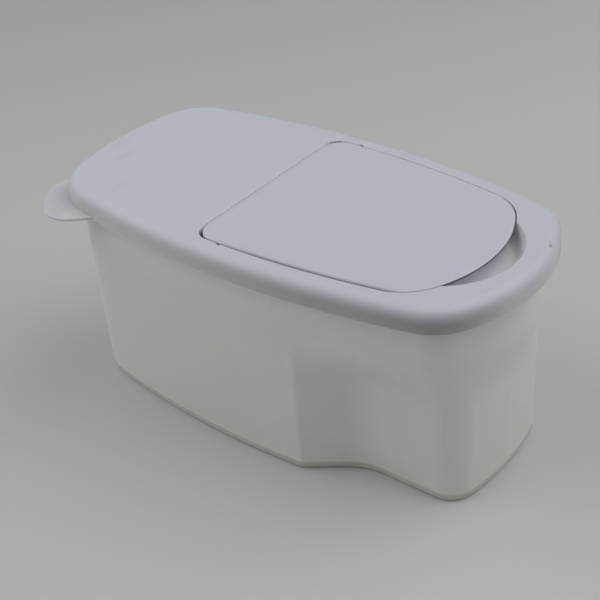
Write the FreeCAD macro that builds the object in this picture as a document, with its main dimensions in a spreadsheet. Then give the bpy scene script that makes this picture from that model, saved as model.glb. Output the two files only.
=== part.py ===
"""Flip-top keeper for dry food: a hollow tub with a stepped grip, a press-on lid and a hinged flap.

Millimetres, +Z up. The origin is on the surface that the tub stands on, under the middle of the
lid. +X points to the end where the flap opens, and -Y is the near side.
"""
import FreeCAD, Part
import math
import os
import Sketcher

V = FreeCAD.Vector

SIZES = [
    # the lid's plan: two long bowed sides, two bowed ends, four corners
    ("lid_length", 330.0, "overall length of the lid"),
    ("lid_width", 170.0, "overall width of the lid"),
    ("lid_side_radius", 640.0, "bow of the long sides"),
    ("lid_front_radius", 108.0, "bow of the front end"),
    ("lid_rear_radius", 190.0, "bow of the rear end"),
    ("lid_front_corner", 37.0, "plan radius of the front corners"),
    ("lid_rear_corner", 40.0, "plan radius of the rear corners"),
    ("widest_behind", 8.0, "how far behind the middle the plan is widest"),
    # heights
    ("total_height", 152.0, "from the table to the top of the lid"),
    ("skirt_height", 14.5, "height of the lid's skirt"),
    ("lid_wall", 2.0, "thickness of the lid"),
    ("lid_edge_radius", 7.0, "rounding of the lid's top edge"),
    # tub
    ("tub_inset", 9.0, "from the lid's outline to the tub's wall, at the base"),
    ("tub_draft", 0.6, "draft of the tub's walls, degrees"),
    ("tub_wall", 1.8, "thickness of the tub's walls"),
    ("floor_thickness", 2.8, "thickness of the tub's floor"),
    ("foot_radius", 4.5, "rounding between the walls and the floor"),
    ("foot_recess", 0.8, "how far the middle of the base is raised"),
    ("foot_width", 9.0, "width of the ring that the tub stands on"),
    # the stepped grip at the lower front of the tub
    ("grip_half_width", 50.4, "half the width between the grip walls"),
    ("grip_from_front", 16.0, "from the lid's front end in to the narrowed front, at the base"),
    ("grip_end_radius", 180.0, "bow of the narrowed front"),
    ("grip_corner", 19.0, "plan radius of the narrowed front's corners"),
    ("step_from_front", 123.0, "from the lid's front end back to where the sides step in"),
    ("step_angle", 34.0, "angle of the step against the side, degrees"),
    ("step_edge", 6.0, "radius of the step's outer edge"),
    ("step_cove", 40.0, "radius where the step meets the grip wall"),
    ("shoulder_low", 72.0, "height where the grip walls begin to flare"),
    ("shoulder_high", 108.0, "height where they reach the full outline"),
    ("shoulder_lift", 0.8, "how far the shoulder is higher inside, for an even wall"),
    # rim of the tub and what grips it
    ("rim_height", 6.0, "height of the rolled rim"),
    ("rim_wall", 1.5, "thickness of the rolled rim"),
    ("rim_radius", 5.2, "rounding of the rolled rim"),
    ("rim_clearance", 0.4, "gap between the rim and the lid's skirt"),
    ("bead_height", 2.0, "height of the snap bead inside the skirt"),
    ("bead_depth", 0.9, "how far the snap bead stands in"),
    ("bead_clearance", 0.4, "gap between the rim and the bead below it"),
    ("plug_clearance", 0.4, "gap between the tub and the lid's plug wall"),
    ("plug_wall", 1.5, "thickness of the plug wall"),
    ("plug_depth", 9.0, "how far the plug wall hangs below the deck"),
    # flap
    ("flap_from_side", 13.4, "from the lid's side in to the flap"),
    ("flap_side_radius", 600.0, "bow of the flap's sides"),
    ("flap_from_front", 28.5, "from the lid's front end in to the flap's front edge"),
    ("flap_front_radius", 90.0, "bow of the flap's front edge"),
    ("flap_front_corner", 34.0, "plan radius of the flap's front corners"),
    ("flap_rear", 29.0, "how far the flap's rear edge is behind the middle"),
    ("flap_rear_corner", 14.0, "plan radius of the flap's rear corners"),
    ("flap_thickness", 2.0, "thickness of the flap"),
    ("flap_edge_radius", 0.6, "rounding of the flap's top edge"),
    ("seam", 1.0, "gap round the flap"),
    ("opening_rear_corner", 10.5, "plan radius of the rear corners of the flap's opening"),
    ("seat_clearance", 0.3, "gap between the closed flap and its shelf"),
    # pour mouth under the flap
    ("throat_wall", 1.8, "wall that hangs round the flap's opening"),
    ("shelf_width", 14.5, "from the flap's edge in to the pour mouth"),
    ("mouth_corner", 19.0, "plan radius of the pour mouth's corners"),
    ("shelf_thickness", 1.8, "thickness of the shelf"),
    ("shelf_start", 8.0, "how far ahead of the hinge the shelf begins"),
    ("collar_depth", 6.0, "depth of the collar round the pour mouth"),
    ("collar_wall", 1.8, "thickness of the collar"),
    ("seal_clearance", 0.5, "gap between the collar and the flap's seal wall"),
    ("seal_wall", 1.6, "thickness of the flap's seal wall"),
    ("seal_depth", 6.5, "how far the seal wall hangs below the flap"),
    # hinge
    ("hinge_behind", 8.0, "how far the hinge is behind the middle"),
    ("hinge_drop", 4.5, "how far the hinge is below the top"),
    ("pin_radius", 2.0, "radius of the hinge pins"),
    ("pin_clearance", 0.08, "running gap between a pin and its socket"),
    ("pin_reach", 3.4, "how far a pin stands out of the flap"),
    ("pin_end_gap", 0.8, "how far the sockets run on past the pins' ends"),
    ("ear_radius", 3.8, "radius of the ears that carry the pins"),
    ("ear_thickness", 2.0, "thickness of the ears"),
    ("entry_width", 3.2, "width of the slots that the pins snap in through"),
    ("entry_depth", 1.2, "depth of those slots in the lid's edge"),
    # finger scoop in front of the flap
    ("scoop_ahead", 13.5, "how far the scoop reaches ahead of the flap"),
    ("scoop_radius", 48.0, "radius of the scoop at the top"),
    ("scoop_depth", 12.0, "depth of the scoop"),
    ("scoop_draft", 14.0, "slope of the scoop's wall, degrees"),
    ("scoop_cove", 5.0, "rounding between the scoop's wall and floor"),
    ("scoop_wall", 1.8, "thickness of the scoop's cup"),
    ("scoop_lip", 1.2, "rounding of the deck's edge round the scoop"),
    # pull tab at the rear corner of the near side
    ("tab_from_rear", 18.5, "from the lid's rear end in to the tab's root"),
    ("tab_from_side", 18.9, "from the lid's near side in to the tab's root"),
    ("tab_angle", 39.0, "direction of the tab, degrees from the rear"),
    ("tab_width", 56.0, "width of the tab"),
    ("tab_reach", 15.6, "how far the tab stands out of the corner"),
    ("tab_root", 24.0, "how far the tab runs in under the skirt"),
    ("tab_bow", 70.0, "bow of the tab's outer edge"),
    ("tab_corner", 19.5, "rounding of the tab's corners"),
    ("tab_thickness", 1.8, "thickness of the tab"),
]

# places that follow from those sizes
PLACES = [
    ("grip_front", "lid_length / 2 - grip_from_front", "reach of the narrowed front, at the base"),
    ("step_start", "lid_length / 2 - step_from_front", "where the sides step in"),
    ("flap_half_width", "lid_width / 2 - flap_from_side", "half the width of the flap"),
    ("flap_front", "lid_length / 2 - flap_from_front", "reach of the flap's front edge"),
    ("scoop_centre", "flap_front + scoop_ahead - scoop_radius", "centre of the scoop's wall"),
    ("tab_x", "lid_length / 2 - tab_from_rear", "the tab's root, behind the middle"),
    ("tab_y", "lid_width / 2 - tab_from_side", "the tab's root, to the near side"),
]

doc = FreeCAD.newDocument("dry_food_keeper")
sheet = doc.addObject("Spreadsheet::Sheet", "sizes")
rows = SIZES + [(alias, "=" + words, note) for alias, words, note in PLACES]
for row, (alias, value, note) in enumerate(rows, start=1):
    sheet.set(f"A{row}", alias)
    sheet.set(f"B{row}", str(value))
    sheet.set(f"C{row}", note)
    sheet.setAlias(f"B{row}", alias)
doc.recompute()


def size(alias):
    """Value of one cell of the sheet."""
    return float(sheet.get(alias))


def cell(alias):
    """The same cell, as an expression names it."""
    return f"sizes.{alias}"


# ---------------------------------------------------------------- plan outlines

# Each plan is two bowed sides, a bowed front and a rear that is bowed or, with no radius, straight.
# Its words are expressions, so that a sketch can be bound to them.
LID_PLAN = {
    "half_width": f"{cell('lid_width')} / 2",
    "side": cell("lid_side_radius"),
    "front_reach": f"{cell('lid_length')} / 2",
    "front": cell("lid_front_radius"),
    "front_corner": cell("lid_front_corner"),
    "rear_reach": f"{cell('lid_length')} / 2",
    "rear": cell("lid_rear_radius"),
    "rear_corner": cell("lid_rear_corner"),
}
FLAP_PLAN = {
    "half_width": cell("flap_half_width"),
    "side": cell("flap_side_radius"),
    "front_reach": cell("flap_front"),
    "front": cell("flap_front_radius"),
    "front_corner": cell("flap_front_corner"),
    "rear_reach": cell("flap_rear"),
    "rear": None,
    "rear_corner": cell("flap_rear_corner"),
}
# the lid's opening for the flap has tighter rear corners than the flap
OPENING_PLAN = dict(FLAP_PLAN, rear_corner=cell("opening_rear_corner"))


def less_shelf(alias):
    """A size of the flap's plan, less the width of the shelf."""
    return f"({cell(alias)} - {cell('shelf_width')})"


# the pour mouth lies inside the flap's plan
MOUTH_PLAN = {
    "half_width": less_shelf("flap_half_width"),
    "side": less_shelf("flap_side_radius"),
    "front_reach": less_shelf("flap_front"),
    "front": less_shelf("flap_front_radius"),
    "front_corner": cell("mouth_corner"),
    "rear_reach": less_shelf("flap_rear"),
    "rear": None,
    "rear_corner": cell("mouth_corner"),
}


def value_of(expression):
    """Number that an expression on the sheet gives."""
    return float(sheet.evalExpression(expression.replace("sizes.", "")))


def circles_meet(centre_a, radius_a, centre_b, radius_b, towards):
    """The crossing of two circles that lies nearer to the point `towards`."""
    gap = centre_b - centre_a
    along = (radius_a ** 2 - radius_b ** 2 + gap.Length ** 2) / (2 * gap.Length)
    across = math.sqrt(radius_a ** 2 - along ** 2)
    unit = V(gap).normalize()
    foot = centre_a + unit * along
    side = V(-unit.y, unit.x, 0) * across
    return min((foot + side, foot - side), key=lambda point: (point - towards).Length)


class Plan:
    """Centres, radii and tangent points of the near half of a plan, grown outwards by `grow`."""

    def __init__(self, words, grow=0.0):
        number = {key: value_of(word) if word else None for key, word in words.items()}
        self.side_radius = number["side"] + grow
        self.side_centre = V(-size("widest_behind"), number["side"] - number["half_width"], 0)
        self.front_radius = number["front"] + grow
        self.front_centre = V(number["front_reach"] - number["front"], 0, 0)
        self.front_corner = number["front_corner"] + grow
        self.front_corner_centre = circles_meet(
            self.side_centre, self.side_radius - self.front_corner,
            self.front_centre, self.front_radius - self.front_corner,
            V(number["front_reach"], -number["half_width"], 0))
        self.rear_corner = number["rear_corner"] + grow
        self.rear_x = -number["rear_reach"] - grow
        if number["rear"]:
            self.rear_radius = number["rear"] + grow
            self.rear_centre = V(number["rear"] - number["rear_reach"], 0, 0)
            self.rear_corner_centre = circles_meet(
                self.side_centre, self.side_radius - self.rear_corner,
                self.rear_centre, self.rear_radius - self.rear_corner,
                V(-number["rear_reach"], -number["half_width"], 0))
            self.rear_tangent = self.touch(self.rear_centre, self.rear_radius,
                                           self.rear_corner_centre)
        else:
            self.rear_radius = None
            inner = self.side_radius - self.rear_corner
            centre_x = self.rear_x + self.rear_corner
            drop = math.sqrt(inner ** 2 - (centre_x - self.side_centre.x) ** 2)
            self.rear_corner_centre = V(centre_x, self.side_centre.y - drop, 0)
            self.rear_tangent = V(self.rear_x, self.rear_corner_centre.y, 0)
        self.side_rear = self.touch(self.side_centre, self.side_radius, self.rear_corner_centre)
        self.side_front = self.touch(self.side_centre, self.side_radius, self.front_corner_centre)
        self.front_tangent = self.touch(self.front_centre, self.front_radius,
                                        self.front_corner_centre)

    @staticmethod
    def touch(centre, radius, inner_centre):
        """Where a circle inside another touches it."""
        return centre + (inner_centre - centre).normalize() * radius


def mirrored(point):
    """The same point on the far side."""
    return V(point.x, -point.y, point.z)


def arc_between(centre, radius, start, end):
    """Arc of a circle from one point anticlockwise to another."""
    angles = [math.atan2(point.y - centre.y, point.x - centre.x) for point in (start, end)]
    if angles[1] <= angles[0]:
        angles[1] += 2 * math.pi
    return Part.ArcOfCircle(Part.Circle(centre, V(0, 0, 1), radius), *angles)


def bound(sketch, kind, places, number, word):
    """Add a size to a sketch and bind it to the sheet."""
    index = sketch.addConstraint(Sketcher.Constraint(kind, *places, number))
    sketch.setExpression(f"Constraints[{index}]", word)


def add_outline(sketch, words, grow_word):
    """Draw a plan in a sketch, tangent all round, with its sizes bound to the sheet."""
    grow = value_of(grow_word)
    plan = Plan(words, grow)
    first = sketch.GeometryCount
    near_points = [plan.rear_tangent, plan.side_rear, plan.side_front, plan.front_tangent]
    far_points = [mirrored(point) for point in reversed(near_points)]
    start, near_rear, near_front, front_near = near_points
    front_far, far_front, far_rear, end = far_points
    pieces = [
        (arc_between(plan.rear_corner_centre, plan.rear_corner, start, near_rear), "rear_corner"),
        (arc_between(plan.side_centre, plan.side_radius, near_rear, near_front), "side"),
        (arc_between(plan.front_corner_centre, plan.front_corner, near_front, front_near),
         "front_corner"),
        (arc_between(plan.front_centre, plan.front_radius, front_near, front_far), "front"),
        (arc_between(mirrored(plan.front_corner_centre), plan.front_corner, front_far, far_front),
         "front_corner"),
        (arc_between(mirrored(plan.side_centre), plan.side_radius, far_front, far_rear), "side"),
        (arc_between(mirrored(plan.rear_corner_centre), plan.rear_corner, far_rear, end),
         "rear_corner"),
    ]
    if plan.rear_radius:
        pieces.append((arc_between(plan.rear_centre, plan.rear_radius, end, start), "rear"))
    else:
        pieces.append((Part.LineSegment(end, start), None))
    for geometry, _ in pieces:
        sketch.addGeometry(geometry, False)
    count = len(pieces)
    for step in range(count):
        sketch.addConstraint(Sketcher.Constraint(
            "Tangent", first + step, 2, first + (step + 1) % count, 1))
    for step, (geometry, word) in enumerate(pieces):
        if word:
            bound(sketch, "Radius", (first + step,), geometry.Radius,
                  f"{words[word]} + ({grow_word})")
    origin = (-1, 1)
    near_side, front, far_side, rear = first + 1, first + 3, first + 5, first + 7
    drop = f"{words['side']} - {words['half_width']}"
    for side, ends in ((near_side, (origin, (near_side, 3))), (far_side, ((far_side, 3), origin))):
        bound(sketch, "DistanceX", (side, 3, *origin), size("widest_behind"),
              cell("widest_behind"))
        bound(sketch, "DistanceY", (*ends[0], *ends[1]), plan.side_centre.y, drop)
    bound(sketch, "DistanceX", (*origin, front, 3), plan.front_centre.x,
          f"{words['front_reach']} - {words['front']}")
    sketch.addConstraint(Sketcher.Constraint("PointOnObject", front, 3, -1))
    if plan.rear_radius:
        bound(sketch, "DistanceX", (*origin, rear, 3), plan.rear_centre.x,
              f"{words['rear']} - {words['rear_reach']}")
        sketch.addConstraint(Sketcher.Constraint("PointOnObject", rear, 3, -1))
    else:
        sketch.addConstraint(Sketcher.Constraint("Vertical", rear))
        bound(sketch, "DistanceX", (rear, 1, *origin), -plan.rear_x,
              f"{words['rear_reach']} + ({grow_word})")


# ---------------------------------------------------------------- document helpers

def new_body(name):
    return doc.addObject("PartDesign::Body", name)


def plane_of(body, role):
    return next(item for item in body.Origin.OriginFeatures if item.Role == role)


def level_sketch(body, name, height_word):
    """Empty horizontal sketch in a body at a height."""
    sketch = body.newObject("Sketcher::SketchObject", name)
    sketch.AttachmentSupport = [(plane_of(body, "XY_Plane"), "")]
    sketch.MapMode = "FlatFace"
    sketch.setExpression(".AttachmentOffset.Base.z", height_word)
    return sketch


def plan_sketch(body, name, height_word, outlines):
    """Horizontal sketch in a body at a height, with one or more (plan, grow) outlines."""
    sketch = level_sketch(body, name, height_word)
    for words, grow_word in outlines:
        add_outline(sketch, words, grow_word)
    doc.recompute()
    return sketch


def pad(body, name, sketch, length_word, reverse=False, both_ways=False):
    feature = body.newObject("PartDesign::Pad", name)
    feature.Profile = sketch
    feature.setExpression("Length", length_word)
    feature.Reversed = reverse
    feature.Midplane = both_ways
    doc.recompute()
    return feature


def pocket(body, name, sketch, length_word, upwards=True, both_ways=False):
    """Cut a sketch's outline out of a body and make sure that it cuts."""
    before = body.Shape.Volume
    feature = body.newObject("PartDesign::Pocket", name)
    feature.Profile = sketch
    feature.Reversed = upwards
    feature.Midplane = both_ways
    feature.setExpression("Length", length_word)
    doc.recompute()
    if not body.Shape.Volume < before - 1.0:
        raise RuntimeError(f"{name} cuts nothing")
    return feature


def dress(body, kind, name, base, edges, property_name, word):
    """Fillet or chamfer the given edges of a feature."""
    feature = body.newObject(f"PartDesign::{kind}", name)
    feature.Base = (base, edges)
    feature.setExpression(property_name, word)
    doc.recompute()
    return feature


def hollow(body, name, base, word):
    """Shell a body inwards, open at its lowest face."""
    lowest = min(range(len(base.Shape.Faces)),
                 key=lambda index: base.Shape.Faces[index].CenterOfMass.z)
    feature = body.newObject("PartDesign::Thickness", name)
    feature.Base = (base, [f"Face{lowest + 1}"])
    feature.Reversed = True
    feature.setExpression("Value", word)
    doc.recompute()
    return feature


def level_edges(shape, height, keep=lambda edge: True):
    """Names of the edges that lie flat at a height."""
    names = []
    for index, edge in enumerate(shape.Edges, start=1):
        box = edge.BoundBox
        if abs(box.ZMin - height) < 0.01 and abs(box.ZMax - height) < 0.01 and keep(edge):
            names.append(f"Edge{index}")
    return names


def on_outline(words, grow_word):
    """Test for the arcs that belong to a plan grown by so much."""
    plan = Plan(words, value_of(grow_word))
    radii = (plan.side_radius, plan.front_radius, plan.rear_radius, plan.front_corner,
             plan.rear_corner)
    return lambda edge: min(abs(edge.Curve.Radius - radius) for radius in radii) < 0.001


def ring_pad(body, name, height_word, outer, inner, length_word):
    """Pad the band between two outlines downwards from a height."""
    sketch = plan_sketch(body, f"{name}_plan", height_word, [outer, inner])
    return pad(body, name, sketch, length_word, reverse=True)


def side_sketch(body, name):
    """Sketch on the upright plane through the middle: its x is the object's X, its y is Z."""
    sketch = body.newObject("Sketcher::SketchObject", name)
    sketch.AttachmentSupport = [(plane_of(body, "XZ_Plane"), "")]
    sketch.MapMode = "FlatFace"
    return sketch


def hinge_circle(body, name, radius_word):
    """Circle on the hinge axis."""
    sketch = side_sketch(body, name)
    centre = V(-size("hinge_behind"), size("total_height") - size("hinge_drop"), 0)
    sketch.addGeometry(Part.Circle(centre, V(0, 0, 1), value_of(radius_word)), False)
    bound(sketch, "DistanceX", (0, 3, -1, 1), -centre.x, cell("hinge_behind"))
    bound(sketch, "DistanceY", (-1, 1, 0, 3), centre.y, HINGE_HEIGHT)
    bound(sketch, "Radius", (0,), value_of(radius_word), radius_word)
    doc.recompute()
    return sketch


def box_sketch(sketch, left_word, right_word, low_word, high_word):
    """Rectangle between two x and two y values of a sketch, measured from its origin."""
    left, right, low, high = (value_of(word) for word in (left_word, right_word, low_word,
                                                          high_word))
    corners = [V(left, low, 0), V(right, low, 0), V(right, high, 0), V(left, high, 0)]
    for step in range(4):
        sketch.addGeometry(Part.LineSegment(corners[step], corners[(step + 1) % 4]), False)
    for step in range(4):
        sketch.addConstraint(Sketcher.Constraint("Coincident", step, 2, (step + 1) % 4, 1))
    for step, kind in enumerate(("Horizontal", "Vertical", "Horizontal", "Vertical")):
        sketch.addConstraint(Sketcher.Constraint(kind, step))
    bound(sketch, "DistanceX", (-1, 1, 0, 1), left, left_word)
    bound(sketch, "DistanceY", (-1, 1, 0, 1), low, low_word)
    bound(sketch, "DistanceX", (-1, 1, 2, 1), right, right_word)
    bound(sketch, "DistanceY", (-1, 1, 2, 1), high, high_word)
    doc.recompute()
    return sketch


HINGE_HEIGHT = f"{cell('total_height')} - {cell('hinge_drop')}"
DECK_UNDERSIDE = f"{cell('total_height')} - {cell('lid_wall')}"
FLAP_UNDERSIDE = f"{cell('total_height')} - {cell('flap_thickness')}"
SHELF_TOP = f"{FLAP_UNDERSIDE} - {cell('seat_clearance')}"
SHELF_UNDERSIDE = f"{SHELF_TOP} - {cell('shelf_thickness')}"
SKIRT_BOTTOM = f"{cell('total_height')} - {cell('skirt_height')}"
RIM_BOTTOM = f"{DECK_UNDERSIDE} - {cell('rim_height')}"
SHELF_START = f"{cell('shelf_start')} - {cell('hinge_behind')}"


# ---------------------------------------------------------------- tub

# The tub's outline with the grip flares into one without it, so its two skins are quilts of faces.
# An outline is a list of stretches, arcs and lines, that match one to one at every height.

class Stretch:
    """One arc or, with no centre, straight line of an outline, drawn anticlockwise round it."""

    def __init__(self, start, end, centre=None):
        self.start, self.end, self.centre = start, end, centre
        if centre:
            arm_in, arm_out = start - centre, end - centre
            self.turn = arm_in.getAngle(arm_out)
            if arm_in.cross(arm_out).z < 0:
                self.turn = -self.turn

    def far_side(self):
        centre = mirrored(self.centre) if self.centre else None
        return Stretch(mirrored(self.end), mirrored(self.start), centre)

    def outward(self):
        """Unit vector out of the tub at the start."""
        if self.centre:
            return (self.start - self.centre).normalize() * math.copysign(1.0, self.turn)
        along = (self.end - self.start).normalize()
        return V(along.y, -along.x, 0)

    def poles(self, height):
        """The three poles of the stretch at a height, each with its weight."""
        if self.centre:
            weight = math.cos(self.turn / 2)
            middle = (self.start + self.end) / 2 - self.centre
            corner = self.centre + middle / weight ** 2
        else:
            weight, corner = 1.0, (self.start + self.end) / 2
        up = V(0, 0, height)
        return [(self.start + up, 1.0), (corner + up, weight), (self.end + up, 1.0)]

    def swept(self, profile):
        """Face that a profile at the start makes along the stretch."""
        if self.centre:
            return profile.revolve(self.centre, V(0, 0, 1), math.degrees(self.turn))
        return profile.extrude(self.end - self.start)

    def foot(self, bottom, radius):
        """Rounding between a wall and the floor below it."""
        inwards, up = self.outward() * -radius, V(0, 0, radius)
        wall_end = self.start + V(0, 0, bottom) + up
        diagonal = (inwards * -1 - up) * math.sqrt(0.5)
        profile = Part.Arc(wall_end + inwards - up, wall_end + inwards + diagonal, wall_end)
        return self.swept(profile.toShape())

    def edge(self, height, inset=0.0):
        """The stretch itself at a height, or one that runs inside it."""
        start = self.start - self.outward() * inset + V(0, 0, height)
        if not self.centre:
            return Part.makeLine(start, start + self.end - self.start)
        centre = self.centre + V(0, 0, height)
        arm = start - centre
        points = [centre + FreeCAD.Rotation(V(0, 0, 1), math.degrees(self.turn * share))
                  .multVec(arm) for share in (0, 0.5, 1)]
        return Part.Arc(*points).toShape()


class Grip:
    """Plan of the tub's narrowed front, near half, with its walls grown outwards by `grow`."""

    def __init__(self, full, grow):
        wall = size("grip_half_width")
        angle = math.radians(size("step_angle"))
        run, out = V(math.cos(angle), math.sin(angle), 0), V(math.sin(angle), -math.cos(angle), 0)
        side_radius = full.side_radius - grow
        rise = math.sqrt(side_radius ** 2 - (size("step_start") - full.side_centre.x) ** 2)
        start = V(size("step_start"), full.side_centre.y - rise, 0)
        # outer edge of the step: a small arc inside the bowed side and the straight ramp
        edge = size("step_edge")
        offset = start - out * edge - full.side_centre
        half = offset.dot(run)
        root = math.sqrt(half ** 2 - offset.Length ** 2 + (side_radius - edge) ** 2)
        slide = min((-half + root, -half - root), key=abs)
        edge_centre = start - out * edge + run * slide
        # inner end of the step: a cove outside the ramp and the grip wall
        cove = size("step_cove")
        slide = (-wall - cove - (start + out * cove).y) / run.y
        cove_centre = start + out * cove + run * slide
        # front corner: an arc inside the grip wall and the bowed front
        corner, front = size("grip_corner"), size("grip_end_radius")
        front_centre = V(size("grip_front") - front, 0, 0)
        down = corner - wall
        corner_centre = front_centre + V(math.sqrt((front - corner) ** 2 - down ** 2), down, 0)
        edge_start = Plan.touch(full.side_centre, full.side_radius, edge_centre)
        edge_end = edge_centre + out * (edge + grow)
        cove_start = cove_centre - out * (cove - grow)
        cove_end = V(cove_centre.x, -wall - grow, 0)
        corner_start = V(corner_centre.x, -wall - grow, 0)
        corner_end = Plan.touch(front_centre, front + grow, corner_centre)
        self.start = edge_start
        self.step = [
            Stretch(edge_start, edge_end, edge_centre),
            Stretch(edge_end, cove_start),
            Stretch(cove_start, cove_end, cove_centre),
            Stretch(cove_end, corner_start),
        ]
        self.nose = [
            Stretch(corner_start, corner_end, corner_centre),
            Stretch(corner_end, V(front_centre.x + front + grow, 0, 0), front_centre),
        ]


def half_outlines(grow):
    """Near half of the tub's plan, rear to front: the shared rear, the stepped front, the plain."""
    full = Plan(LID_PLAN, grow - size("tub_inset"))
    grip = Grip(full, grow)
    rear = [
        Stretch(V(full.rear_x, 0, 0), full.rear_tangent, full.rear_centre),
        Stretch(full.rear_tangent, full.side_rear, full.rear_corner_centre),
        Stretch(full.side_rear, grip.start, full.side_centre),
    ]
    # without the grip, the side has its joints at the same shares of its length
    spans = [(stretch.end - stretch.start).Length for stretch in grip.step]
    angles = [math.atan2(point.y - full.side_centre.y, point.x - full.side_centre.x)
              for point in (grip.start, full.side_front)]
    joints = [angles[0] + (angles[1] - angles[0]) * sum(spans[:count]) / sum(spans)
              for count in range(len(spans) + 1)]
    points = [full.side_centre + V(math.cos(angle), math.sin(angle), 0) * full.side_radius
              for angle in joints]
    plain = [Stretch(start, end, full.side_centre) for start, end in zip(points, points[1:])]
    plain += [
        Stretch(full.side_front, full.front_tangent, full.front_corner_centre),
        Stretch(full.front_tangent, V(full.front_centre.x + full.front_radius, 0, 0),
                full.front_centre),
    ]
    return rear, grip.step + grip.nose, plain


def tub_outline(height, grow, stepped):
    """The tub's stretches at a height, with the draft of its walls: the rear's, the front's."""
    rear, narrow, plain = half_outlines(grow + height * math.tan(math.radians(size("tub_draft"))))
    front = narrow if stepped else plain
    return [half + [stretch.far_side() for stretch in half] for half in (rear, front)]


def band(rows):
    """Faces between levels (stretches, height): two give a straight wall, four a curved one."""
    faces = []
    for stretches in zip(*(row for row, _ in rows)):
        surface = Part.BezierSurface()
        surface.increase(2, len(rows) - 1)
        for row, (stretch, (_, height)) in enumerate(zip(stretches, rows), start=1):
            for column, (pole, weight) in enumerate(stretch.poles(height), start=1):
                surface.setPole(column, row, pole, weight)
        faces.append(surface.toShape())
    return faces


def cap(edges):
    """Flat face inside a ring of edges."""
    return Part.Face(Part.Wire(Part.__sortEdges__(edges)))


def tub_skin(name, grow, bottom, foot_radius, lift):
    """Solid out to one skin of the tub: rounded foot, stepped wall, shoulder, upper wall."""
    top = value_of(DECK_UNDERSIDE)
    low, high = size("shoulder_low") + lift, size("shoulder_high") + lift
    third = (high - low) / 3
    foot_top = bottom + foot_radius

    def level(height, stepped, part):
        return tub_outline(height, grow, stepped)[part], height

    foot = sum(tub_outline(foot_top, grow, True), [])
    rim = sum(tub_outline(top, grow, False), [])
    faces = [cap([stretch.edge(bottom, foot_radius) for stretch in foot]),
             cap([stretch.edge(top) for stretch in rim])]
    faces += [stretch.foot(bottom, foot_radius) for stretch in foot]
    rear, front = 0, 1
    for part in (rear, front):
        faces += band([level(foot_top, True, part), level(low, True, part)])
        faces += band([level(high, False, part), level(top, False, part)])
    faces += band([level(low, True, rear), level(high, True, rear)])
    faces += band([level(low, True, front), level(low + third, True, front),
                   level(high - third, False, front), level(high, False, front)])
    shell = Part.makeShell(faces)
    shell.sewShape()
    solid = Part.makeSolid(shell.Shells[0])
    if solid.Volume < 0:
        solid.reverse()
    feature = doc.addObject("Part::Feature", name)
    feature.Shape = solid
    return feature


def fuse(name, pieces):
    feature = doc.addObject("Part::MultiFuse", name)
    feature.Shapes = pieces
    feature.Refine = True
    doc.recompute()
    return feature


def cut(name, base, tool):
    feature = doc.addObject("Part::Cut", name)
    feature.Base = base
    feature.Tool = tool
    doc.recompute()
    return feature


def cylinder_across(name, radius_word, reach_word):
    """Bar along Y on the hinge axis, out to a reach on both sides."""
    bar = doc.addObject("Part::Cylinder", name)
    bar.setExpression("Radius", radius_word)
    bar.setExpression("Height", f"2 * ({reach_word})")
    bar.Placement.Rotation = FreeCAD.Rotation(V(1, 0, 0), -90)
    bar.setExpression("Placement.Base.x", f"-{cell('hinge_behind')}")
    bar.setExpression("Placement.Base.y", f"-({reach_word})")
    bar.setExpression("Placement.Base.z", HINGE_HEIGHT)
    return bar


def make_tub():
    """Hollow tub on a standing ring, with a rolled rim."""
    outer = tub_skin("tub_outside", 0.0, 0.0, size("foot_radius"), 0.0)
    inner = tub_skin("tub_inside", -size("tub_wall"), size("floor_thickness"),
                     size("foot_radius") - size("tub_wall"), size("shoulder_lift"))
    walls = cut("tub_walls", outer, inner)

    base = cap([stretch.edge(0.0) for stretch in sum(tub_outline(0.0, 0.0, True), [])])
    recess = doc.addObject("Part::Feature", "base_recess")
    recess.Shape = base.makeOffset2D(-size("foot_width")).extrude(V(0, 0, size("foot_recess")))
    standing = cut("tub_on_ring", walls, recess)

    rim = new_body("rolled_rim")
    outline = f"-{cell('lid_wall')} - {cell('rim_clearance')}"
    block = pad(rim, "rim_block", plan_sketch(rim, "rim_plan", RIM_BOTTOM, [(LID_PLAN, outline)]),
                cell("rim_height"))
    rolled = dress(rim, "Fillet", "rim_roll", block,
                   level_edges(block.Shape, value_of(DECK_UNDERSIDE)), "Radius",
                   cell("rim_radius"))
    hollow(rim, "rim_hollow", rolled, cell("rim_wall"))
    # the rim's plate ends inside the tub's wall
    middle = (f"-{cell('tub_inset')} - {cell('tub_wall')} / 2"
              f" + ({DECK_UNDERSIDE}) * tan({cell('tub_draft')} * 1 deg)")
    pocket(rim, "rim_mouth", plan_sketch(rim, "rim_mouth_plan", RIM_BOTTOM,
                                         [(LID_PLAN, middle)]), cell("rim_height"))
    return fuse("tub", [standing, rim])


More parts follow.
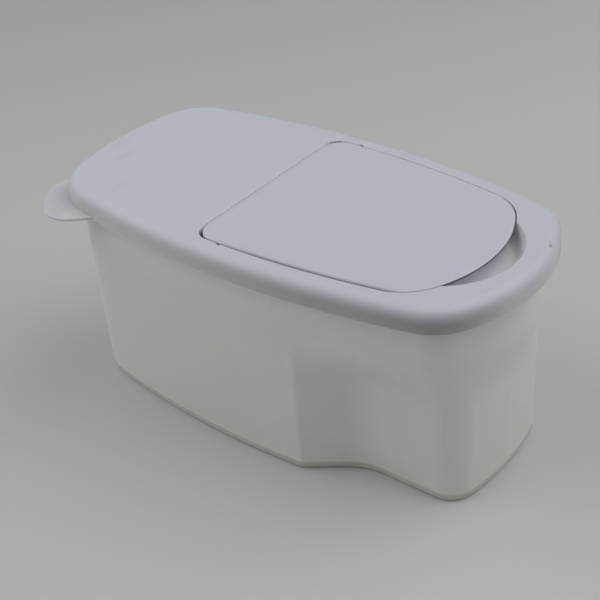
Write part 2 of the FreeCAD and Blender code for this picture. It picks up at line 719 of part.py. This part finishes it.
def make_lid_cap():
    """Deck, skirt, plug wall, snap bead, throat wall and pull tab of the lid."""
    body = new_body("lid_cap")
    block = pad(body, "lid_block", plan_sketch(body, "lid_plan", SKIRT_BOTTOM, [(LID_PLAN, "0")]),
                cell("skirt_height"))
    rounded = dress(body, "Fillet", "lid_edge", block,
                    level_edges(block.Shape, size("total_height")), "Radius",
                    cell("lid_edge_radius"))
    hollow(body, "lid_shell", rounded, cell("lid_wall"))

    plug = (f"-{cell('tub_inset')} - {cell('tub_wall')} - {cell('plug_clearance')}"
            f" + ({DECK_UNDERSIDE}) * tan({cell('tub_draft')} * 1 deg)")
    ring_pad(body, "plug_wall", DECK_UNDERSIDE, (LID_PLAN, plug),
             (LID_PLAN, f"{plug} - {cell('plug_wall')}"), cell("plug_depth"))
    ring_pad(body, "throat_wall", DECK_UNDERSIDE,
             (OPENING_PLAN, f"{cell('seam')} + {cell('throat_wall')}"),
             (OPENING_PLAN, cell("seam")), cell("plug_depth"))
    inside = f"-{cell('lid_wall')}"
    face = f"{inside} - {cell('bead_depth')}"
    top = f"{RIM_BOTTOM} - {cell('bead_clearance')}"
    bead = ring_pad(body, "snap_bead", top, (LID_PLAN, f"{inside} / 2"), (LID_PLAN, face),
                    cell("bead_height"))
    on_face = on_outline(LID_PLAN, face)
    edges = [name for height in (value_of(top), value_of(top) - size("bead_height"))
             for name in level_edges(bead.Shape, height, on_face)]
    dress(body, "Chamfer", "bead_chamfer", bead, edges, "Size", f"{cell('bead_depth')} * 0.8")

    pocket(body, "flap_opening",
           plan_sketch(body, "flap_opening_plan", DECK_UNDERSIDE, [(OPENING_PLAN, cell("seam"))]),
           cell("lid_wall"))
    return body


def make_shelf():
    """Shelf that the closed flap lies on and collar of the pour mouth, open behind the hinge."""
    body = new_body("lid_shelf")
    seat = (OPENING_PLAN, f"{cell('seam')} + {cell('throat_wall')} / 2")
    ring_pad(body, "shelf", SHELF_TOP, seat, (MOUTH_PLAN, "0"), cell("shelf_thickness"))
    ring_pad(body, "collar", SHELF_UNDERSIDE, (MOUTH_PLAN, cell("collar_wall")),
             (MOUTH_PLAN, "0"), cell("collar_depth"))
    swing = level_sketch(body, "swing_plan", f"{SHELF_UNDERSIDE} - {cell('collar_depth')}")
    side = f"{cell('lid_width')} / 2"
    box_sketch(swing, f"-{cell('flap_rear')} - {side}", SHELF_START, f"-{side}", side)
    pocket(body, "swing_room", swing, f"{cell('shelf_thickness')} + {cell('collar_depth')}")
    return body


def block_of(name, words, grow_word, low_word, height_word):
    """Plain block over a plan, to cut with."""
    body = new_body(name)
    pad(body, f"{name}_block", plan_sketch(body, f"{name}_plan", low_word, [(words, grow_word)]),
        height_word)
    return body


def disc_sketch(body, name, radius_word):
    """Circle round the middle of the scoop, level with the top of the lid."""
    sketch = level_sketch(body, name, cell("total_height"))
    sketch.addGeometry(Part.Circle(V(size("scoop_centre"), 0, 0), V(0, 0, 1),
                                   value_of(radius_word)), False)
    bound(sketch, "DistanceX", (-1, 1, 0, 3), size("scoop_centre"), cell("scoop_centre"))
    sketch.addConstraint(Sketcher.Constraint("PointOnObject", 0, 3, -1))
    bound(sketch, "Radius", (0,), value_of(radius_word), radius_word)
    doc.recompute()
    return sketch


def bowl(body, extra_word):
    """Tapered bowl of the finger scoop, grown by so much, with a rounded bottom edge."""
    depth = f"{cell('scoop_depth')} + {extra_word}"
    cone = pad(body, f"{body.Name}_cone",
               disc_sketch(body, f"{body.Name}_plan", f"{cell('scoop_radius')} + {extra_word}"),
               depth, reverse=True)
    cone.setExpression("TaperAngle", f"-{cell('scoop_draft')}")
    doc.recompute()
    return dress(body, "Fillet", f"{body.Name}_cove", cone,
                 level_edges(cone.Shape, size("total_height") - value_of(depth)), "Radius",
                 f"{cell('scoop_cove')} + {extra_word}")


def make_scoop():
    """Cup of the finger scoop, closed towards the pour mouth, and the room inside it."""
    cup = new_body("scoop_cup")
    bowl(cup, cell("scoop_wall"))
    room = new_body("scoop_room")
    bowl(room, "0")
    # a disc over the bowl, filleted where the two meet, rounds the deck's edge
    over = pad(room, "scoop_over",
               disc_sketch(room, "scoop_over_plan",
                           f"{cell('scoop_radius')} + 2 * {cell('scoop_lip')}"),
               cell("scoop_lip"))
    dress(room, "Fillet", "scoop_edge", over,
          level_edges(over.Shape, size("total_height"),
                      lambda edge: edge.Curve.Radius < size("scoop_radius") + 0.001),
          "Radius", cell("scoop_lip"))
    base = f"{cell('total_height')} - {cell('scoop_depth')} * 2"
    tall = f"{cell('scoop_depth')} * 3"
    mouth = block_of("mouth_room", MOUTH_PLAN, "0", base, tall)
    kept = block_of("mouth_and_collar", MOUTH_PLAN, cell("collar_wall"), base, tall)
    flap_room = block_of("flap_room", OPENING_PLAN, cell("seam"), SHELF_TOP, cell("scoop_depth"))
    walls = cut("cup_ahead_of_mouth", cup, mouth)
    return cut("cup_below_flap", walls, flap_room), cut("room_ahead_of_collar", room, kept)


def make_tab():
    """Pull tab under the skirt, at the rear corner of the near side."""
    body = new_body("pull_tab")
    body.Placement.Rotation = FreeCAD.Rotation(V(0, 0, 1), 180 + size("tab_angle"))
    body.setExpression("Placement.Base.x", f"-{cell('tab_x')}")
    body.setExpression("Placement.Base.y", f"-{cell('tab_y')}")
    body.setExpression("Placement.Base.z", SKIRT_BOTTOM)
    half, bow = size("tab_width") / 2, size("tab_bow")
    root, centre = -size("tab_root"), V(size("tab_reach") - bow, 0, 0)
    side = centre.x + math.sqrt(bow ** 2 - half ** 2)
    corners = [V(root, -half, 0), V(side, -half, 0), V(side, half, 0), V(root, half, 0)]
    sketch = level_sketch(body, "tab_plan", "0")
    sketch.addGeometry(Part.LineSegment(corners[0], corners[1]), False)
    sketch.addGeometry(arc_between(centre, bow, corners[1], corners[2]), False)
    sketch.addGeometry(Part.LineSegment(corners[2], corners[3]), False)
    sketch.addGeometry(Part.LineSegment(corners[3], corners[0]), False)
    for step in range(4):
        sketch.addConstraint(Sketcher.Constraint("Coincident", step, 2, (step + 1) % 4, 1))
    for step, kind in ((0, "Horizontal"), (2, "Horizontal"), (3, "Vertical")):
        sketch.addConstraint(Sketcher.Constraint(kind, step))
    sketch.addConstraint(Sketcher.Constraint("PointOnObject", 1, 3, -1))
    bound(sketch, "DistanceX", (-1, 1, 0, 1), root, f"-{cell('tab_root')}")
    bound(sketch, "DistanceY", (-1, 1, 0, 1), -half, f"-{cell('tab_width')} / 2")
    bound(sketch, "DistanceY", (-1, 1, 2, 1), half, f"{cell('tab_width')} / 2")
    bound(sketch, "Radius", (1,), bow, cell("tab_bow"))
    bound(sketch, "DistanceX", (-1, 1, 1, 3), centre.x, f"{cell('tab_reach')} - {cell('tab_bow')}")
    doc.recompute()
    plate = pad(body, "tab_plate", sketch, cell("tab_thickness"))
    outer = [f"Edge{index}" for index, edge in enumerate(plate.Shape.Edges, start=1)
             if edge.BoundBox.ZLength > 1 and edge.BoundBox.XMin > 0]
    dress(body, "Fillet", "tab_corners", plate, outer, "Radius", cell("tab_corner"))
    inside = block_of("tab_limit", LID_PLAN, f"-{cell('lid_wall')} / 2",
                      f"{SKIRT_BOTTOM} - {cell('tab_thickness')}", f"3 * {cell('tab_thickness')}")
    return cut("tab_outside", body, inside)


def make_lid():
    """Press-on lid in one piece, with sockets for the flap's pins."""
    cup, scoop_room = make_scoop()
    whole = fuse("lid_whole", [make_lid_cap(), make_shelf(), cup, make_tab()])
    bore = cylinder_across("hinge_bore", f"{cell('pin_radius')} + {cell('pin_clearance')}",
                           f"{cell('flap_half_width')} + {cell('pin_reach')}"
                           f" + {cell('pin_end_gap')}")
    entry = doc.addObject("Part::Box", "pin_entry")
    reach = f"({cell('flap_half_width')} + {cell('seam')} + {cell('entry_depth')})"
    entry.setExpression("Length", cell("entry_width"))
    entry.setExpression("Width", f"2 * {reach}")
    entry.setExpression("Height", f"2 * {cell('hinge_drop')}")
    entry.setExpression("Placement.Base.x",
                        f"-{cell('hinge_behind')} - {cell('entry_width')} / 2")
    entry.setExpression("Placement.Base.y", f"-{reach}")
    entry.setExpression("Placement.Base.z", HINGE_HEIGHT)
    return cut("lid", whole, fuse("lid_tools", [scoop_room, bore, entry]))


def make_flap():
    """Flap with two ears and their pins."""
    body = new_body("flap")
    plate = pad(body, "flap_plate", plan_sketch(body, "flap_plan", FLAP_UNDERSIDE,
                                                [(FLAP_PLAN, "0")]), cell("flap_thickness"))
    dress(body, "Fillet", "flap_edge", plate, level_edges(plate.Shape, size("total_height")),
          "Radius", cell("flap_edge_radius"))
    pad(body, "ears", hinge_circle(body, "ear_circle", cell("ear_radius")),
        f"2 * {cell('flap_half_width')} - {cell('flap_edge_radius')}", both_ways=True)
    between = side_sketch(body, "between_ears")
    side = f"({cell('ear_radius')} + 1)"
    box_sketch(between, f"-{cell('hinge_behind')} - {side}", f"-{cell('hinge_behind')} + {side}",
               f"{HINGE_HEIGHT} - {side}", FLAP_UNDERSIDE)
    pocket(body, "ear_gap", between, f"2 * ({cell('flap_half_width')} - {cell('ear_thickness')})",
           both_ways=True)
    # each pin starts inside its ear
    for name, turn in (("near_pin", False), ("far_pin", True)):
        pin_sketch = hinge_circle(body, f"{name}_circle", cell("pin_radius"))
        start = f"{cell('flap_half_width')} - {cell('ear_thickness')} / 2"
        sign = "-" if turn else ""
        pin_sketch.setExpression(".AttachmentOffset.Base.z", f"{sign}({start})")
        doc.recompute()
        pad(body, name, pin_sketch, f"{cell('ear_thickness')} / 2 + {cell('pin_reach')}", turn)
    return body


def make_flap_seal():
    """Wall under the flap that goes down inside the collar round the pour mouth."""
    body = new_body("flap_seal")
    ring_pad(body, "seal", FLAP_UNDERSIDE, (MOUTH_PLAN, f"-{cell('seal_clearance')}"),
             (MOUTH_PLAN, f"-{cell('seal_clearance')} - {cell('seal_wall')}"),
             cell("seal_depth"))
    return body


nodes = {"tub": make_tub(), "lid": make_lid(), "flap": make_flap(), "flap_seal": make_flap_seal()}
doc.recompute()

for item in doc.Objects:
    if "Invalid" in item.State or "Error" in item.State:
        raise RuntimeError(f"{item.Name} did not build: {item.State}")
os.makedirs("parts", exist_ok=True)
for name, item in nodes.items():
    item.Label = name
    if item.Shape.isNull() or not item.Shape.isValid() or len(item.Shape.Solids) != 1:
        raise RuntimeError(f"{name} is not one valid solid")
    item.Shape.exportStep(f"parts/{name}.step")
    print(name, round(item.Shape.Volume), "mm3")
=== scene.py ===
import math

import bmesh
import bpy
from mathutils import Matrix, Vector


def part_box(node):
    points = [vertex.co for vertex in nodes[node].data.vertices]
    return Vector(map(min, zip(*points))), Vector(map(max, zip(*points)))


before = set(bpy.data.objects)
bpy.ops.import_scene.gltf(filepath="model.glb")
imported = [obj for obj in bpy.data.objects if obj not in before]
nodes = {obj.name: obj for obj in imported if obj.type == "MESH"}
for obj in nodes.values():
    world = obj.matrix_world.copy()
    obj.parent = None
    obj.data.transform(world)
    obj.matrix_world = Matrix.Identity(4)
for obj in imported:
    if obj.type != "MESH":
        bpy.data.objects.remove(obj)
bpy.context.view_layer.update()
lid_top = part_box("lid")[1].z

# Places on the part that the finishes follow, in metres.
IN_PLAN = (1, 1, 0)                         # distances that ignore the height
DECK = 0.152                                # top of the lid and of the shut flap
SCOOP_MIDDLE = (0.102, 0.0, 0.0)
SCOOP_RADIUS = 0.048
SIDE_RADIUS = 0.6000                        # the flap's long sides are shallow arcs
NEAR_SIDE_MIDDLE = (-0.008, 0.5284, 0.0)    # middle of the near side's arc
FAR_SIDE_MIDDLE = (-0.008, -0.5284, 0.0)
FLAP_REAR = -0.0290                         # straight rear edge of the flap
SEAM_HALF_WIDTH = 0.0735                    # the seam's reach to either side
# painted light for the seam's shaded walls
SEAM_LIGHT_WHITE = (1.0, 1.0, 1.0)
# painted shade for the flap's seam edges
SEAM_SHADE = (0.20, 0.20, 0.22)


# ---------------------------------------------------------------- finishes

class Finish:
    """Node material on a Principled shader whose patterns follow the piece's own shape."""

    def __init__(self, name, roughness, ior):
        self.material = bpy.data.materials.new(name)
        self.material.use_nodes = True
        self.tree = self.material.node_tree
        self.shader = self.tree.nodes["Principled BSDF"]
        self.shader.inputs["Roughness"].default_value = roughness
        self.shader.inputs["IOR"].default_value = ior
        self.place = self.tree.nodes.new("ShaderNodeTexCoord").outputs["Object"]

    def glow_through(self, reach):
        """Light that spreads so many metres inside the plastic, per colour."""
        self.shader.inputs["Subsurface Weight"].default_value = 1.0
        self.shader.inputs["Subsurface Radius"].default_value = reach
        self.shader.inputs["Subsurface Scale"].default_value = 1.0

    def noise(self, size, detail, squeeze=(1, 1, 1)):
        """Cloudy pattern whose blots are about `size` metres across."""
        mapping = self.tree.nodes.new("ShaderNodeMapping")
        mapping.inputs["Scale"].default_value = squeeze
        noise = self.tree.nodes.new("ShaderNodeTexNoise")
        noise.inputs["Scale"].default_value = 1 / size
        noise.inputs["Detail"].default_value = detail
        self.tree.links.new(self.place, mapping.inputs["Vector"])
        self.tree.links.new(mapping.outputs["Vector"], noise.inputs["Vector"])
        return noise.outputs["Fac"]

    def ramp(self, factor, stops):
        """Colours at places from 0 to 1 along a factor."""
        ramp = self.tree.nodes.new("ShaderNodeValToRGB")
        while len(ramp.color_ramp.elements) < len(stops):
            ramp.color_ramp.elements.new(0.5)
        for element, (place, colour) in zip(ramp.color_ramp.elements, stops):
            element.position = place
            element.color = (*colour, 1.0)
        self.tree.links.new(factor, ramp.inputs["Fac"])
        return ramp.outputs["Color"]

    def mix(self, factor, one, other):
        """From one colour to another as the factor goes from 0 to 1."""
        mix = self.tree.nodes.new("ShaderNodeMix")
        mix.data_type = "RGBA"
        for socket, value in (("Factor", factor), ("A", one), ("B", other)):
            found = [item for item in mix.inputs if item.name == socket and item.enabled][0]
            if isinstance(value, bpy.types.NodeSocket):
                self.tree.links.new(value, found)
            elif socket == "Factor":
                found.default_value = value
            else:
                found.default_value = (*value, 1.0)
        return [item for item in mix.outputs if item.enabled][0]

    def span(self, factor, low, high):
        """The factor, turned to run between two values."""
        span = self.tree.nodes.new("ShaderNodeMapRange")
        span.inputs["To Min"].default_value = low
        span.inputs["To Max"].default_value = high
        self.tree.links.new(factor, span.inputs["Value"])
        return span.outputs["Result"]

    def along(self, axis, low, high):
        """0 at one place along an axis and 1 at another."""
        split = self.tree.nodes.new("ShaderNodeSeparateXYZ")
        self.tree.links.new(self.place, split.inputs["Vector"])
        span = self.tree.nodes.new("ShaderNodeMapRange")
        span.inputs["From Min"].default_value = low
        span.inputs["From Max"].default_value = high
        self.tree.links.new(split.outputs[axis], span.inputs["Value"])
        return span.outputs["Result"]

    def near(self, point, inner, outer, squeeze=(1, 1, 1)):
        """1 within one distance of a point, falling to 0 at another."""
        mapping = self.tree.nodes.new("ShaderNodeMapping")
        mapping.inputs["Scale"].default_value = squeeze
        mapping.inputs["Location"].default_value = [-a * b for a, b in zip(point, squeeze)]
        length = self.tree.nodes.new("ShaderNodeVectorMath")
        length.operation = "LENGTH"
        self.tree.links.new(self.place, mapping.inputs["Vector"])
        self.tree.links.new(mapping.outputs["Vector"], length.inputs[0])
        span = self.tree.nodes.new("ShaderNodeMapRange")
        span.inputs["From Min"].default_value = outer
        span.inputs["From Max"].default_value = inner
        self.tree.links.new(length.outputs["Value"], span.inputs["Value"])
        return span.outputs["Result"]

    def both(self, one, other):
        """Where two factors meet."""
        product = self.tree.nodes.new("ShaderNodeMath")
        product.operation = "MULTIPLY"
        self.tree.links.new(one, product.inputs[0])
        self.tree.links.new(other, product.inputs[1])
        return product.outputs["Value"]

    def either(self, one, other):
        """The stronger of two factors."""
        stronger = self.tree.nodes.new("ShaderNodeMath")
        stronger.operation = "MAXIMUM"
        self.tree.links.new(one, stronger.inputs[0])
        self.tree.links.new(other, stronger.inputs[1])
        return stronger.outputs["Value"]

    def within(self, axis, low, high, soft=0.0002):
        """1 between two places along an axis, 0 beyond them."""
        return self.both(self.along(axis, low - soft, low), self.along(axis, high + soft, high))

    def bump(self, factor, depth, under=None):
        """Relief of so many metres, over another one if given."""
        bump = self.tree.nodes.new("ShaderNodeBump")
        bump.inputs["Strength"].default_value = 1.0
        bump.inputs["Distance"].default_value = depth
        self.tree.links.new(factor, bump.inputs["Height"])
        if under:
            self.tree.links.new(under, bump.inputs["Normal"])
        return bump.outputs["Normal"]

    def wire(self, socket, value):
        """The pattern, led to one of the shader's sockets."""
        self.tree.links.new(value, self.shader.inputs[socket])


def white_moulding(name):
    """Opaque white plastic: faintly cloudy, satin, with the grain of the mould."""
    finish = Finish(name, 0.42, 1.49)
    finish.wire("Roughness", finish.span(finish.noise(0.012, 4.0), 0.36, 0.5))
    finish.glow_through((0.002, 0.002, 0.002))
    grain = finish.bump(finish.noise(0.0011, 2.0), 0.00002)
    finish.wire("Normal", finish.bump(finish.noise(0.045, 1.0), 0.0002, grain))
    # The top colour's blue tint is painted bluish light from above; the white under it is the
    # plastic's own.
    top = finish.ramp(finish.noise(0.09, 2.0), [
        (0.3, (0.630, 0.640, 0.705)), (0.7, (0.650, 0.665, 0.735))])
    return finish, top


def on_both_sides(finish, point, inner, outer, squeeze):
    """1 near a point and near the point across from it, on the part's other side."""
    x, y, z = point
    return finish.either(finish.near((x, y, z), inner, outer, squeeze),
                         finish.near((x, -y, z), inner, outer, squeeze))


def skirt_tone(finish):
    """Skirt colour with painted shade: duller along the front half, most of all round the two
    corners.
    """
    # painted shade along the front half of the skirt, on both sides
    painted_front_shade = on_both_sides(finish, (0.105, -0.083, 0.0), 0.030, 0.170, (1, 3, 0))
    skirt = finish.mix(painted_front_shade, (0.645, 0.655, 0.665), (0.470, 0.477, 0.482))
    # painted shade, darkest round the two front corners
    corner = on_both_sides(finish, (0.143, -0.066, 0.0), 0.008, 0.045, IN_PLAN)
    return finish.mix(finish.span(corner, 0.0, 0.38), skirt, (0.22, 0.22, 0.22))


def scoop_tone(finish, colour):
    """Painted light in the finger scoop: its floor, palest under the flap's edge, then its
    wall.
    """
    scoop = finish.both(
        finish.near(SCOOP_MIDDLE, SCOOP_RADIUS, SCOOP_RADIUS + 0.0012, IN_PLAN),
        finish.along("Z", DECK - 0.0010, DECK - 0.0040))
    scoop = finish.both(scoop, finish.along("X", 0.100, 0.120))
    # painted light on the scoop floor, strongest under the flap's edge where its shadow falls
    floor = finish.mix(finish.along("X", 0.1380, 0.1450),
                       (0.82, 0.83, 0.89), (0.73, 0.74, 0.81))
    # painted light on the scoop's wall
    wall = finish.both(scoop, finish.near(SCOOP_MIDDLE, SCOOP_RADIUS - 0.0080,
                                          SCOOP_RADIUS - 0.0140, IN_PLAN))
    return finish.mix(wall, finish.mix(scoop, colour, floor), (0.92, 0.93, 0.94))


def slot_tone(finish, colour):
    """Painted light: white walls of the opening on the flap's far side and rear, inside the
    thin seam where its shade falls.
    """
    outside = finish.near(FAR_SIDE_MIDDLE, SIDE_RADIUS + 0.0001, SIDE_RADIUS - 0.0001, IN_PLAN)
    inside = finish.near(FAR_SIDE_MIDDLE, SIDE_RADIUS + 0.0012, SIDE_RADIUS + 0.0014, IN_PLAN)
    far = finish.both(finish.both(inside, outside), finish.within("Y", 0.040, SEAM_HALF_WIDTH))
    rear = finish.both(finish.within("X", FLAP_REAR - 0.0012, FLAP_REAR - 0.0002),
                       finish.within("Y", -SEAM_HALF_WIDTH, SEAM_HALF_WIDTH))
    seam_light_mask = finish.both(finish.either(far, rear), finish.within("X", -0.031, 0.127))
    seam_light_mask = finish.both(seam_light_mask, finish.along("Z", DECK - 0.0001, DECK - 0.0005))
    # painted light in the seam
    return finish.mix(seam_light_mask, colour, SEAM_LIGHT_WHITE)


def tab_tone(finish, colour):
    """Painted shade on the pull tab: darker and cooler than the skirt beside it."""
    tab = finish.both(finish.near((-0.160, -0.084, 0.0), 0.022, 0.030, IN_PLAN),
                      finish.along("Z", 0.1450, 0.1440))
    # painted shade on the tab
    return finish.mix(tab, colour, (0.600, 0.612, 0.660))


def deck_marks(finish, colour):
    """Three faint darker smudges at the rear of the deck and one dark speck at its front."""
    for x, y, reach, strength in ((-0.137, -0.020, 0.006, 0.10),
                                  (-0.111, -0.053, 0.005, 0.08),
                                  (-0.153, -0.009, 0.007, 0.10)):
        smudge = finish.near((x, y, DECK), 0.0, reach, (1.0, 0.45, 1.0))
        colour = finish.mix(finish.span(smudge, 0.0, strength), colour, (0.30, 0.30, 0.36))
    speck = finish.near((0.1580, 0.0280, DECK), 0.0006, 0.0018, (1.0, 0.6, 1.0))
    return finish.mix(speck, colour, (0.11, 0.10, 0.10))


def lid_plastic():
    """The lid's white: cooler on top with painted bluish light, painted shade on the skirt and
    tab, painted light down in the scoop and in the seam, and a few faint marks.
    """
    finish, top = white_moulding("lid_plastic")
    # Shaded skirt colour below the rounding, the top with its painted bluish light above it.
    colour = finish.mix(finish.along("Z", 0.1435, 0.1508), skirt_tone(finish), top)
    for tone in (scoop_tone, slot_tone, tab_tone, deck_marks):
        colour = tone(finish, colour)
    finish.wire("Base Color", colour)
    return finish.material


def flap_plastic():
    """The flap's white, with painted shade along its near edge, at its rear edge and on its
    thin side wall at the front, where the seam's shade falls.
    """
    finish, top = white_moulding("flap_plastic")
    ahead = finish.along("X", -0.030, 0.020)    # the painted shade fades out towards the rear
    # painted shade along the near seam
    near_edge_shade = finish.both(ahead, finish.near(NEAR_SIDE_MIDDLE, SIDE_RADIUS,
                                         SIDE_RADIUS - 0.0023, IN_PLAN))
    colour = finish.mix(finish.span(near_edge_shade, 0.0, 0.75), top, SEAM_SHADE)
    # painted shade at the flap's rear edge, along the rear seam
    rear = finish.along("X", FLAP_REAR + 0.0035, FLAP_REAR)
    colour = finish.mix(finish.span(rear, 0.0, 0.14), colour, SEAM_SHADE)
    # painted shade on the flap's thin side wall at its front, in the seam
    edge = finish.both(finish.along("Z", 0.15005, 0.15015), finish.along("Z", 0.15155, 0.15125))
    finish.wire("Base Color", finish.mix(finish.both(edge, ahead), colour, (0.13, 0.13, 0.14)))
    return finish.material


def tub_plastic():
    """Natural, milky moulding, waxy; painted light makes it paler at the top, on the grip's
    ramp and at the lowest edge, and a painted shade band greys the foot.
    """
    finish = Finish("tub_plastic", 0.4, 1.49)
    clouds = finish.noise(0.06, 2.0, squeeze=(1, 1, 0.35))
    walls = finish.ramp(clouds, [(0.3, (0.815, 0.830, 0.745)), (0.7, (0.840, 0.855, 0.775))])
    # painted light: paler towards the top, under the lid's skirt
    walls = finish.mix(finish.along("Z", 0.105, 0.136), walls, (0.94, 0.95, 0.87))
    # painted light on the recessed ramp of the grip
    painted_ramp_light = finish.both(finish.along("X", 0.036, 0.054), finish.along("X", 0.104, 0.074))
    painted_ramp_light = finish.both(painted_ramp_light, finish.along("Z", 0.120, 0.075))
    walls = finish.mix(painted_ramp_light, walls, (0.885, 0.900, 0.810))
    # painted light on the lowest edge, where the contact shadow falls
    walls = finish.mix(finish.along("Z", 0.0026, 0.0014), walls, (1.0, 1.0, 0.94))
    # painted shade: greyer band on the foot, standing in for the contact shadow
    painted_foot_shade = finish.both(finish.along("Z", 0.0018, 0.0030), finish.along("Z", 0.0072, 0.0058))
    finish.wire("Base Color", finish.mix(painted_foot_shade, walls, (0.60, 0.61, 0.54)))
    finish.wire("Roughness", finish.span(finish.noise(0.02, 4.0), 0.34, 0.46))
    finish.glow_through((0.004, 0.004, 0.0035))
    grain = finish.bump(finish.noise(0.0014, 2.0), 0.00002)
    waves = finish.noise(0.05, 1.0, squeeze=(1, 1, 0.4))
    finish.wire("Normal", finish.bump(waves, 0.0003, grain))
    return finish.material


def paint(piece, material):
    """One material over the whole piece."""
    piece.data.materials.clear()
    piece.data.materials.append(material)


flap_white = flap_plastic()
paint(nodes["lid"], lid_plastic())
paint(nodes["flap"], flap_white)
paint(nodes["flap_seal"], flap_white)
paint(nodes["tub"], tub_plastic())


# ---------------------------------------------------------------- floor, light and camera

def make_floor():
    """Plain pale floor with painted light: a little lighter towards the pouring end."""
    reach = 2.2
    sheet = bmesh.new()
    bmesh.ops.create_grid(sheet, x_segments=1, y_segments=1, size=reach)
    mesh = bpy.data.meshes.new("floor")
    sheet.to_mesh(mesh)
    sheet.free()
    floor = bpy.data.objects.new("floor", mesh)
    bpy.context.scene.collection.objects.link(floor)
    finish = Finish("floor", 0.6, 1.45)
    # painted light: the floor lightens towards the pouring end
    floor_light_falloff = finish.mix(finish.along("X", -0.7, 0.3),
                       (0.530, 0.530, 0.530), (0.630, 0.630, 0.627))
    clouds = finish.span(finish.noise(1.2, 1.0), 0.0, 0.06)
    finish.wire("Base Color", finish.mix(clouds, floor_light_falloff, (0.40, 0.40, 0.40)))
    floor.data.materials.append(finish.material)


def area_light(name, place, target, size, power):
    """Square soft lamp at a place, turned to a target."""
    lamp = bpy.data.lights.new(name, "AREA")
    lamp.shape = "SQUARE"
    lamp.size = size
    lamp.energy = power
    holder = bpy.data.objects.new(name, lamp)
    holder.location = place
    holder.rotation_euler = (Vector(target) - Vector(place)).to_track_quat("-Z", "Y").to_euler()
    bpy.context.scene.collection.objects.link(holder)


def make_room():
    """Dim grey room that lights the part from all round, with a paler backdrop to look at."""
    world = bpy.data.worlds.new("room")
    world.use_nodes = True
    tree = world.node_tree
    room = tree.nodes["Background"]
    room.inputs["Color"].default_value = (0.5, 0.5, 0.5, 1.0)
    room.inputs["Strength"].default_value = 0.17
    backdrop = tree.nodes.new("ShaderNodeBackground")
    backdrop.inputs["Color"].default_value = (0.36, 0.36, 0.36, 1.0)
    path = tree.nodes.new("ShaderNodeLightPath")
    choice = tree.nodes.new("ShaderNodeMixShader")
    tree.links.new(path.outputs["Is Camera Ray"], choice.inputs["Fac"])
    tree.links.new(room.outputs["Background"], choice.inputs[1])
    tree.links.new(backdrop.outputs["Background"], choice.inputs[2])
    tree.links.new(choice.outputs["Shader"], tree.nodes["World Output"].inputs["Surface"])
    bpy.context.scene.world = world


def make_light():
    """Four large soft lamps round the part, and the room."""
    middle = Vector((0.0, 0.0, lid_top / 2))
    area_light("window", (-0.9, -0.75, 1.3), middle, 2.0, 13.8)
    area_light("white_wall", (0.95, 0.8, 1.5), middle, 2.4, 25.3)
    area_light("near_wall", (0.1, -1.4, 0.6), middle, 0.9, 1.15)
    area_light("rear_wall", (-1.1, 0.3, 1.2), middle, 1.8, 2.3)
    make_room()


def make_camera():
    """Camera above the near front corner, looking down at the middle of the part."""
    camera = bpy.data.cameras.new("camera")
    camera.lens = 76.74
    camera.sensor_width = 36.0
    distance = 0.83959
    holder = bpy.data.objects.new("camera", camera)
    azimuth, elevation, roll = (math.radians(angle) for angle in (40.75, 34.0, -4.89))
    target = Vector((-0.00454, -0.00698, 0.07502))
    back = Vector((math.sin(azimuth) * math.cos(elevation),
                   -math.cos(azimuth) * math.cos(elevation), math.sin(elevation)))
    turn = (-back).to_track_quat("-Z", "Y").to_matrix() @ Matrix.Rotation(roll, 3, "Z")
    holder.matrix_world = Matrix.Translation(target + back * distance) @ turn.to_4x4()
    bpy.context.scene.collection.objects.link(holder)
    bpy.context.scene.camera = holder
    bpy.context.view_layer.update()


make_floor()
make_light()
make_camera()
bpy.context.scene.view_settings.view_transform = "Standard"
